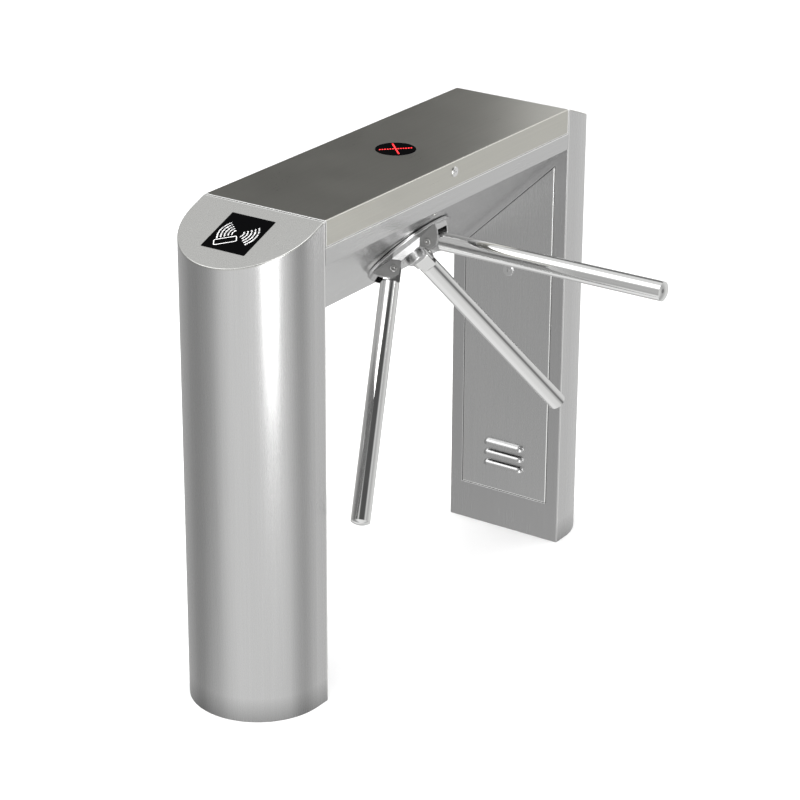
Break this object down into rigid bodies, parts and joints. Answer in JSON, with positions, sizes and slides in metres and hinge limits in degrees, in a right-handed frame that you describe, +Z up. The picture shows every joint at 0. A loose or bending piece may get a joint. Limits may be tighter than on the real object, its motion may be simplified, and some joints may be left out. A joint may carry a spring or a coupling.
{
  "type": "visitor counter turnstile",
  "caption": "Waist-high bridge turnstile: two round-ended steel legs, a beam between them with a sloping face, and a tilted three-armed rotor that lets visitors pass singly and counts them.",
  "frame": {"origin": "on the floor at the centre of the cabinet's footprint, which is the centre of the anchor bolt pattern", "axes": "+Z up; +Y along the cabinet from the reader leg to the far leg; +X towards the passage that the arms close"},
  "size_m": [0.7542, 1.2, 0.9814],
  "materials": {
    "brushed_cabinet_steel": "satin, fine vertical grain",
    "brushed_lid_steel": "satin, fine grain along the lid",
    "structural_steel": "mill finish",
    "zinc_fasteners": "zinc plated",
    "polished_steel": "mirror polished",
    "hub_casting": "polished casting",
    "bolt_steel": "turned",
    "grey_cover_plate": "satin grey",
    "lock_chrome": "polished",
    "black_window": "gloss black",
    "red_lamps": "clear red",
    "black_plastic": "fine texture",
    "bright_machined_steel": "machined",
    "black_drive_enamel": "satin enamel",
    "board_green": "solder mask",
    "supply_case": "folded sheet"
  },
  "bodies": {
    "cabinet": {"near_leg_shell": "brushed_cabinet_steel", "far_leg_shell": "brushed_cabinet_steel", "near_leg_cap": "brushed_cabinet_steel", "far_leg_cap": "brushed_cabinet_steel", "near_inner_panel": "brushed_cabinet_steel", "far_inner_panel": "brushed_cabinet_steel", "near_base_plate": "structural_steel", "far_base_plate": "structural_steel", "door_keepers": "structural_steel", "beam_shell": "brushed_cabinet_steel", "beam_bulkheads": "structural_steel", "cabinet_bolts": "zinc_fasteners", "hinge_base_leaves": "zinc_fasteners", "hinge_pins": "zinc_fasteners", "reader_window": "black_window", "reader_module": "black_plastic", "rotor_collar": "hub_casting", "chassis_plate": "structural_steel", "chassis_posts": "structural_steel", "bearing_housing": "structural_steel", "shaft_bearings": "bright_machined_steel", "gearmotor": "black_drive_enamel", "rear_plate": "structural_steel", "brake_stator": "black_drive_enamel", "encoder_sensor": "black_plastic", "control_board": "board_green", "board_components": "black_plastic", "power_supply": "supply_case"},
    "lid": {"lid": "brushed_lid_steel", "lid_lock": "lock_chrome", "indicator_face": "black_window", "indicator_leds": "red_lamps", "indicator_housing": "black_plastic", "hinge_lid_leaves": "zinc_fasteners"},
    "lid_lock_cam": {"lid_lock_cam": "lock_chrome"},
    "near_door": {"near_door": "brushed_cabinet_steel", "near_door_lock": "lock_chrome"},
    "near_door_lock_cam": {"near_door_lock_cam": "lock_chrome"},
    "far_door": {"far_door": "brushed_cabinet_steel", "far_door_lock": "lock_chrome"},
    "far_door_lock_cam": {"far_door_lock_cam": "lock_chrome"},
    "rotor": {"rotor_shaft": "bright_machined_steel", "tripod_hub": "hub_casting", "hub_cap": "hub_casting", "fork_cover_plates": "grey_cover_plate", "arm_pivot_bolts": "bolt_steel", "drive_gear": "bright_machined_steel", "brake_hub": "bright_machined_steel", "encoder_disc": "bright_machined_steel", "near_arm_tube": "polished_steel", "near_arm_knuckle": "polished_steel", "near_arm_end_cap": "polished_steel", "far_arm_tube": "polished_steel", "far_arm_knuckle": "polished_steel", "far_arm_end_cap": "polished_steel"},
    "top_arm": {"top_arm_tube": "polished_steel", "top_arm_knuckle": "polished_steel", "top_arm_end_cap": "polished_steel"},
    "motor_pinion": {"motor_pinion": "bright_machined_steel"},
    "brake_armature": {"brake_armature": "bright_machined_steel"}
  },
  "joints": [
    {"name": "rotor_spin", "type": "hinge", "parent": "cabinet", "child": "rotor", "pos_m": [0.0023, 0, 0.813], "axis": [0.7193, 0, -0.6947], "continuous": true},
    {"name": "top_arm_drop", "type": "hinge", "parent": "rotor", "child": "top_arm", "pos_m": [0.0903, 0, 0.813], "axis": [0, 1, 0], "range_deg": [0, 88]},
    {"name": "motor_spin", "type": "hinge", "parent": "cabinet", "child": "motor_pinion", "pos_m": [0.0023, 0.0803, 0.813], "axis": [0.7193, 0, -0.6947], "continuous": true},
    {"name": "brake_close", "type": "slide", "parent": "rotor", "child": "brake_armature", "axis": [-0.7193, 0, 0.6947], "range_m": [0, 0.0005]},
    {"name": "lid_open", "type": "hinge", "parent": "cabinet", "child": "lid", "pos_m": [-0.1419, 0, 0.929], "axis": [0, -1, 0], "range_deg": [0, 95]},
    {"name": "lid_lock_turn", "type": "hinge", "parent": "lid", "child": "lid_lock_cam", "pos_m": [0.1375, 0, 0.9597], "axis": [1, 0, 0], "range_deg": [0, 90]},
    {"name": "near_door_tilt", "type": "hinge", "parent": "cabinet", "child": "near_door", "pos_m": [0, -0.4265, 0.0863], "axis": [-1, 0, 0], "range_deg": [0, 15]},
    {"name": "far_door_tilt", "type": "hinge", "parent": "cabinet", "child": "far_door", "pos_m": [0, 0.4265, 0.0863], "axis": [1, 0, 0], "range_deg": [0, 15]},
    {"name": "near_door_lock_turn", "type": "hinge", "parent": "near_door", "child": "near_door_lock_cam", "pos_m": [0, -0.4265, 0.6026], "axis": [0, -1, 0], "range_deg": [0, 90]},
    {"name": "far_door_lock_turn", "type": "hinge", "parent": "far_door", "child": "far_door_lock_cam", "pos_m": [0, 0.4265, 0.6026], "axis": [0, -1, 0], "range_deg": [0, 90]}
  ],
  "couplings": [
    {"joint": "motor_spin", "follows": "rotor_spin", "ratio": -3}
  ]
}
